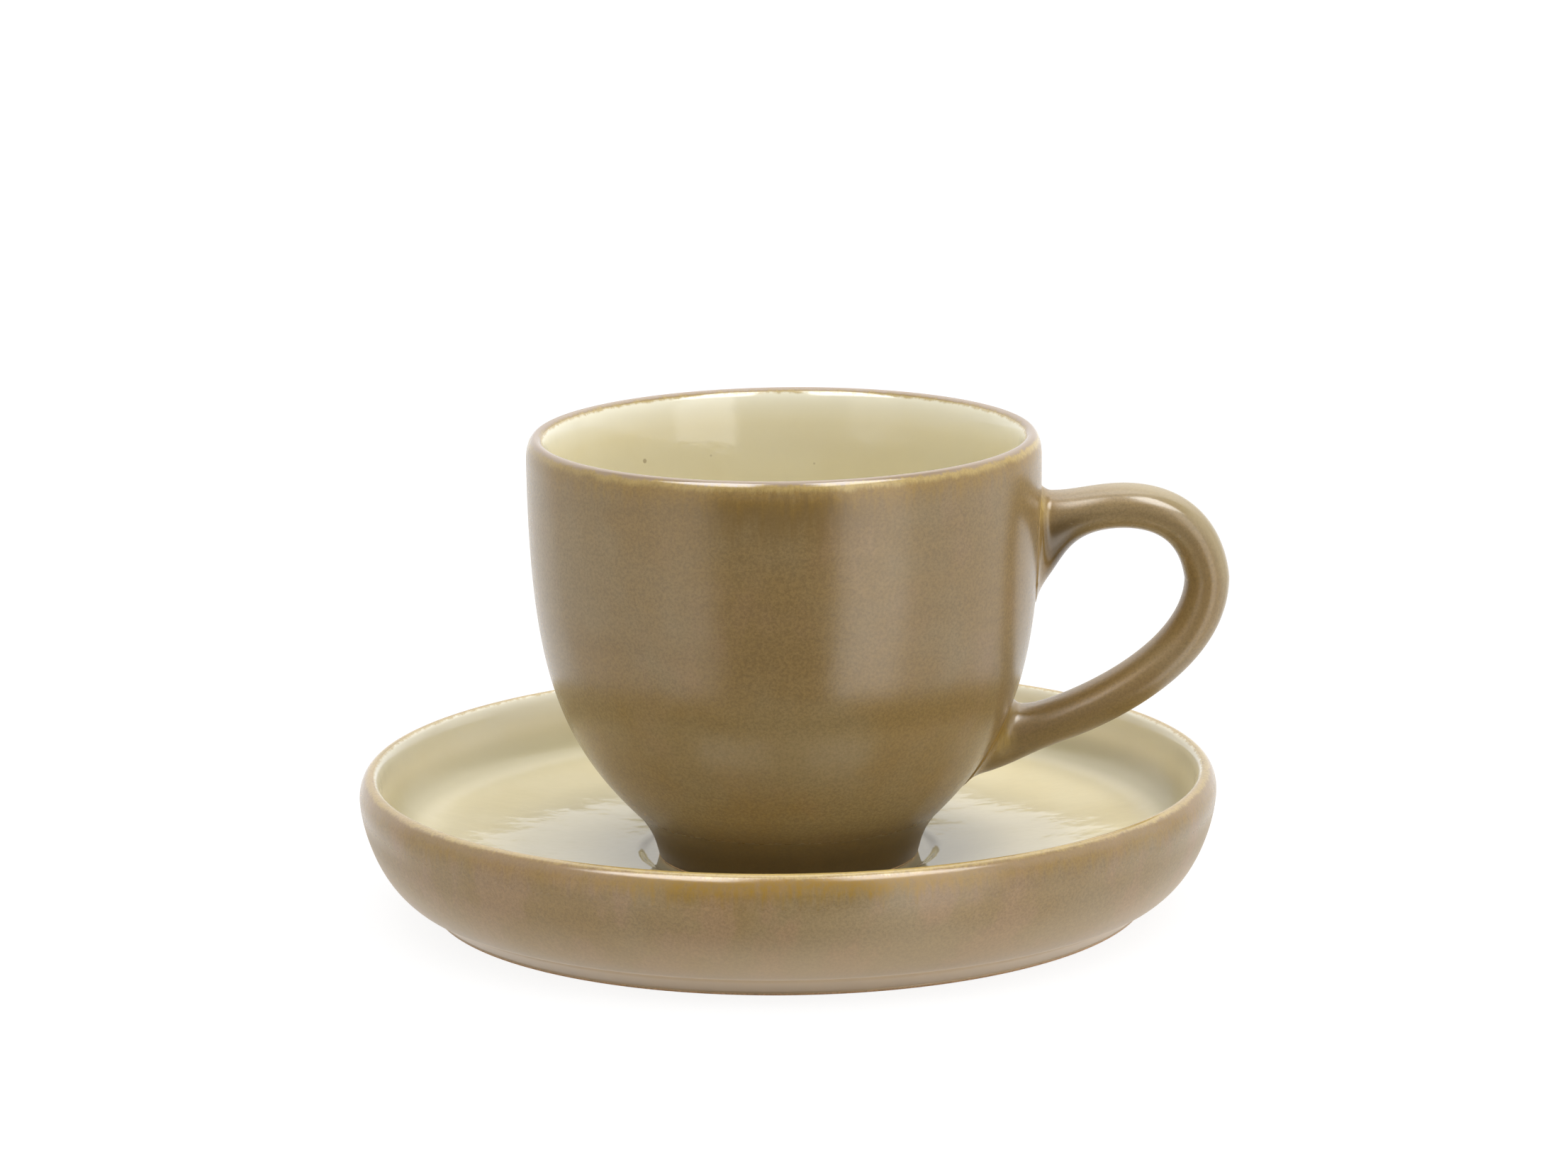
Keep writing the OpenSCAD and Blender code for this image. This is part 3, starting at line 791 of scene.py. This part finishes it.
def cream_glaze(part):
    """The glossy lining of the cup or the saucer."""
    material, t = new_material("cream_glaze_" + part)
    at = t.place()
    edge = t.attribute("edge")
    uneven = t.noise(at, 300.0, 2.0, 0.5)
    # the glaze's waves, as a height in metres
    height = t.mul(t.noise(at, 240.0, 3.0, 0.5), 0.00006)
    colour = t.mix(t.ramp(t.noise(at, 70.0, 3.0, 0.5), 0.35, 0.65), CREAM, CREAM_WARM)
    colour = t.mix(specks(t, at), colour, SPECK)
    # the cup's lining darkens deeper down as painted shade; both linings lighten towards the lip as
    # a painted sheen of reflected light
    if part == "cup":
        colour = t.scale_colour(colour, t.ramp(edge, 2.5, 9.0, 1.0, 0.88))
        colour = t.mix(t.ramp(edge, 0.5, 5.0, 0.85, 0.0), colour, CREAM_PAINTED_SHEEN)
        rough = t.mul_add(uneven, 0.04, 0.06)
    else:
        x, y, z = t.axes(at)
        radius = t.from_axis(x, y)
        colour = saucer_cream(t, x, z, radius, colour)
        colour = t.mix(t.ramp(edge, 0.5, 6.0, 0.9, 0.0), colour, CREAM_PAINTED_SHEEN)
        # duller on the wall, and rising round the well
        dull = t.band(z, 0.0084, 0.0098, 0.0148, 0.0168)
        rough = t.mul_add(dull, 0.21, t.mul_add(uneven, 0.04, 0.03))
        height = t.add(height, t.ramp(radius, 0.0235, 0.040, 0.0, 0.0003))
    # a darker line along the upper edge, where it runs into the brown
    streak = t.noise(at, 900.0, 3.0, 0.6, stretch=(1.0, 1.0, 0.3))
    near = t.ramp(t.add(edge, t.mul_add(streak, -0.9, 0.45)), 0.0, 0.45, 1.0, 0.0)
    colour = t.mix(near, colour, CREAM_EDGE)
    finish_glaze(t, colour, rough, height, 1.0, 1.0)
    return material


brown = {part: brown_glaze(part) for part in ("cup", "saucer", "handle")}
cream = {part: cream_glaze(part) for part in ("cup", "saucer")}
for obj, material in (
    (cup_shell, brown["cup"]),
    (saucer_shell, brown["saucer"]),
    (handle, brown["handle"]),
    (cup_glaze, cream["cup"]),
    (saucer_glaze, cream["saucer"]),
):
    obj.data.materials.append(material)
for node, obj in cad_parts.items():
    obj.data.materials.clear()
    obj.data.materials.append(cream["cup"] if node.endswith("lining") else brown["cup"])

# ---------------------------------------------------------------- floor
FLOOR_HALF = 4.0
FLOOR_DROP = 0.00002

floor_mesh = bpy.data.meshes.new("floor")
corners = [(x * FLOOR_HALF, y * FLOOR_HALF, 0) for x, y in ((-1, -1), (1, -1), (1, 1), (-1, 1))]
floor_mesh.from_pydata(corners, [], [(0, 1, 2, 3)])
floor = bpy.data.objects.new("floor", floor_mesh)
bpy.context.scene.collection.objects.link(floor)
floor.location.z = -FLOOR_DROP
floor.visible_glossy = False

material, t = new_material("floor_white")
plain = t.put("ShaderNodeBsdfDiffuse", {"Color": rgb(0.9, 0.9, 0.9)}).outputs[0]
glow = t.put("ShaderNodeEmission", {"Color": rgb(1.0, 1.0, 1.0), "Strength": 1.1}).outputs[0]
glow_share = t.mul(t.put("ShaderNodeLightPath", {}).outputs["Is Camera Ray"], 0.8)
seen = t.put("ShaderNodeMixShader", {0: glow_share, 1: plain, 2: glow}).outputs[0]
t.put("ShaderNodeOutputMaterial", {"Surface": seen})
floor_mesh.materials.append(material)

# ---------------------------------------------------------------- studio: the world
# What the glaze reflects, as patches in degrees. Azimuth runs from -180 to 180 with 0 at -Y and
# 90 at +X, elevation up from the horizon: (azimuth from, to, softness, elevation from, to,
# softness, brightness)
REFLECTED = (
    (-118, -60, 5, -75, 42, 8, 0.95),
    (-60, -33, 4, -75, 42, 8, 1.35),
    (24, 56, 4, -75, 42, 8, 3.1),
    (56, 118, 5, -75, 42, 8, 1.45),
    (-33, 24, 4, 0, 42, 8, 0.6),
    (-70, -18, 4, 44, 74, 5, 13.0),
    (19, 67, 4, 44, 74, 5, 12.0),
)
DEGREES = 57.29578
DIFFUSE_LEVEL = 0.27
SEEN_LEVEL = 1.0


def soft_window(t, value, lo, hi, soft):
    """1 between lo and hi, with soft edges."""
    return t.band(value, lo - soft, lo + soft, hi - soft, hi + soft)


def reflected_level(t):
    """Brightness of the studio by direction, as glossy rays see it."""
    x, y, z = t.axes(t.place("Generated"))
    azimuth = t.mul(t.math("ARCTAN2", x, t.mul(y, -1.0)), DEGREES)
    elevation = t.mul(t.math("ARCSINE", z), DEGREES)
    behind = t.ramp(t.math("ABSOLUTE", azimuth), 112.0, 128.0)
    level = t.mul_add(behind, 1.1, 0.08)
    for az_lo, az_hi, az_soft, el_lo, el_hi, el_soft, brightness in REFLECTED:
        across = soft_window(t, azimuth, az_lo, az_hi, az_soft)
        upwards = soft_window(t, elevation, el_lo, el_hi, el_soft)
        level = t.add(level, t.mul(t.mul(across, upwards), brightness))
    # the ceiling, the upper part of the backdrop, and the table in place of what lies under it
    level = t.add(level, t.ramp(elevation, 30.0, 54.0, 0.0, 0.85))
    level = t.add(level, t.ramp(elevation, 58.0, 76.0, 0.0, 1.5))
    level = t.add(level, t.mul(behind, t.ramp(elevation, 14.0, 34.0, 0.0, 0.85)))
    table = t.ramp(elevation, -67.0, -45.0, 1.0, 0.0)
    return t.add(t.mul(level, t.math("SUBTRACT", 1.0, table)), t.mul(table, 1.05))


world = bpy.data.worlds.new("studio")
world.use_nodes = True
bpy.context.scene.world = world
world.cycles.sampling_method = "NONE"
t = Tree(world.node_tree)
rays = t.put("ShaderNodeLightPath", {}).outputs
level = t.mix_numbers(rays["Is Glossy Ray"], DIFFUSE_LEVEL, reflected_level(t))
seen = t.larger(rays["Is Camera Ray"], rays["Is Transmission Ray"])
level = t.mix_numbers(seen, level, SEEN_LEVEL)
sky = t.put("ShaderNodeBackground", {"Color": rgb(1.0, 1.0, 1.0), "Strength": level})
t.put("ShaderNodeOutputWorld", {"Surface": sky.outputs[0]})


# ---------------------------------------------------------------- studio: lamps
LAMP_AIM = Vector((0, 0, 0.03))


def softbox(name, azimuth, elevation, distance, width, height, level):
    """A soft lamp that faces the object. level is its brightness, where 1 is white."""
    a, e = math.radians(azimuth), math.radians(elevation)
    away = Vector((math.sin(a) * math.cos(e), -math.cos(a) * math.cos(e), math.sin(e))) * distance
    data = bpy.data.lights.new(name, "AREA")
    data.shape = "RECTANGLE"
    data.size, data.size_y = width, height
    data.energy = level * width * height * math.pi
    lamp = bpy.data.objects.new(name, data)
    bpy.context.scene.collection.objects.link(lamp)
    lamp.location = away + LAMP_AIM
    lamp.rotation_euler = away.to_track_quat("Z", "Y").to_euler()
    lamp.visible_glossy = False
    lamp.visible_camera = False


softbox("softbox_left", -72, 38, 1.3, 0.8, 0.8, 1.15)
softbox("softbox_right", 66, 34, 1.3, 0.8, 0.8, 1.65)
softbox("softbox_top", 0, 86, 1.2, 1.5, 1.5, 1.72)
softbox("softbox_back", 180, 32, 1.5, 2.4, 1.2, 1.1)
softbox("softbox_back_right", 118, 42, 1.3, 1.0, 1.0, 1.35)

# ---------------------------------------------------------------- camera, angles in radians
LOOK_AT = Vector((-0.2, 0.0, 42.55)) * MM
ELEVATION = 0.216744
ROLL = -0.0125954
DISTANCE = 788.46 * MM
SENSOR_WIDTH = 36.0
LENS = 135.56

forward = Vector((0, math.cos(ELEVATION), -math.sin(ELEVATION)))
right = Vector((1, 0, 0))
up = right.cross(forward)
camera_right = math.cos(ROLL) * right + math.sin(ROLL) * up
camera_up = -math.sin(ROLL) * right + math.cos(ROLL) * up
place = Matrix((camera_right, camera_up, -forward)).transposed().to_4x4()
place.translation = LOOK_AT - forward * DISTANCE
camera = bpy.data.objects.new("camera", bpy.data.cameras.new("camera"))
bpy.context.scene.collection.objects.link(camera)
camera.data.sensor_width = SENSOR_WIDTH
camera.data.lens = LENS
camera.data.clip_start = 0.01
camera.data.clip_end = 50.0
camera.matrix_world = place
bpy.context.scene.camera = camera
bpy.context.scene.view_settings.view_transform = "Standard"
